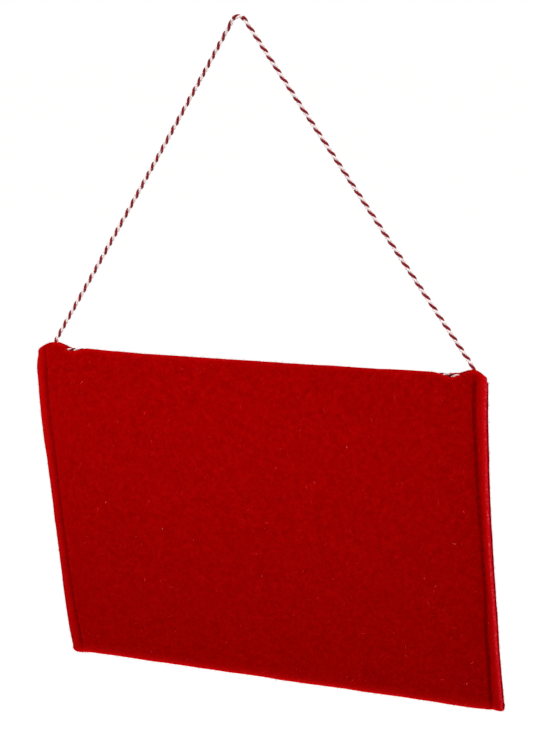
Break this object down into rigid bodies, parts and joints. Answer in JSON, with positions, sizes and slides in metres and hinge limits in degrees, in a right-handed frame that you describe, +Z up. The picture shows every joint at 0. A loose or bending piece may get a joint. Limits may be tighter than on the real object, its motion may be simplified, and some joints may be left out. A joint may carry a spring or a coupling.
{
  "type": "felt hanging pouch ornament",
  "caption": "Flat felt pouch, folded at the bottom and sewn down both sides, open along the top and hung by a loop of two-colour twine.",
  "frame": {"origin": "The point of the hook under the top of the twine loop, where the ornament hangs.", "axes": "+X to the right along the pouch's width, +Y from the front wall to the back wall, +Z up."},
  "size_m": [0.1672, 0.008, 0.232],
  "materials": {
    "felt": "matte",
    "thread": "satin",
    "twine": "matte"
  },
  "bodies": {
    "loop": {"hanging_twine": "twine"},
    "necks": {"left_twine_neck": "twine", "right_twine_neck": "twine"},
    "pouch": {"felt_pouch": "felt", "left_needle_thread": "thread", "left_bobbin_thread": "thread", "right_needle_thread": "thread", "right_bobbin_thread": "thread", "left_twine_end": "twine", "right_twine_end": "twine"}
  },
  "joints": [
    {"name": "loop_fold", "type": "hinge", "parent": "loop", "child": "necks", "pos_m": [-0.0064, 0, -0.10515], "axis": [1, 0, 0], "range_deg": [-87, 87]},
    {"name": "mouth_fold", "type": "hinge", "parent": "necks", "child": "pouch", "pos_m": [-0.0064, 0, -0.10965], "axis": [1, 0, 0], "range_deg": [-87, 87]}
  ]
}
